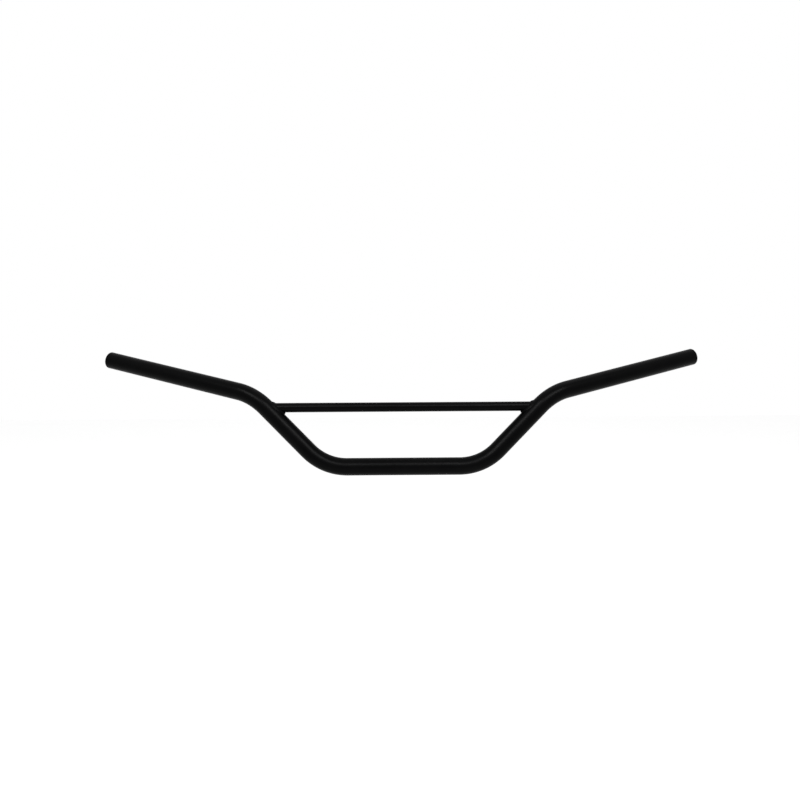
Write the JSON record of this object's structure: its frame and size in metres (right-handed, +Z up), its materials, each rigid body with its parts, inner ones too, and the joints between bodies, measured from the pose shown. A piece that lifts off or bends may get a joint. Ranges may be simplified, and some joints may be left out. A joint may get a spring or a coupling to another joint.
{
  "type": "motocross handlebar",
  "caption": "High-rise black steel handlebar: a bent tube with swept-back open ends and a thin crossbar welded between its rising struts",
  "frame": {"origin": "middle of the clamp section, on the axis of the main tube", "axes": "as mounted: +X along the clamp axis to the picture's right, +Y back towards the rider, +Z up"},
  "size_m": [0.8066, 0.1241, 0.1509],
  "materials": {
    "tube_paint": "satin black powder coat over steel tube",
    "crossbar_paint": "satin black powder coat over thin steel tube",
    "weld_paint": "satin black powder coat over a rippled weld bead"
  },
  "bodies": {
    "root": {"main_tube": "tube_paint", "crossbar": "crossbar_paint", "left_weld": "weld_paint", "right_weld": "weld_paint"}
  },
  "joints": []
}
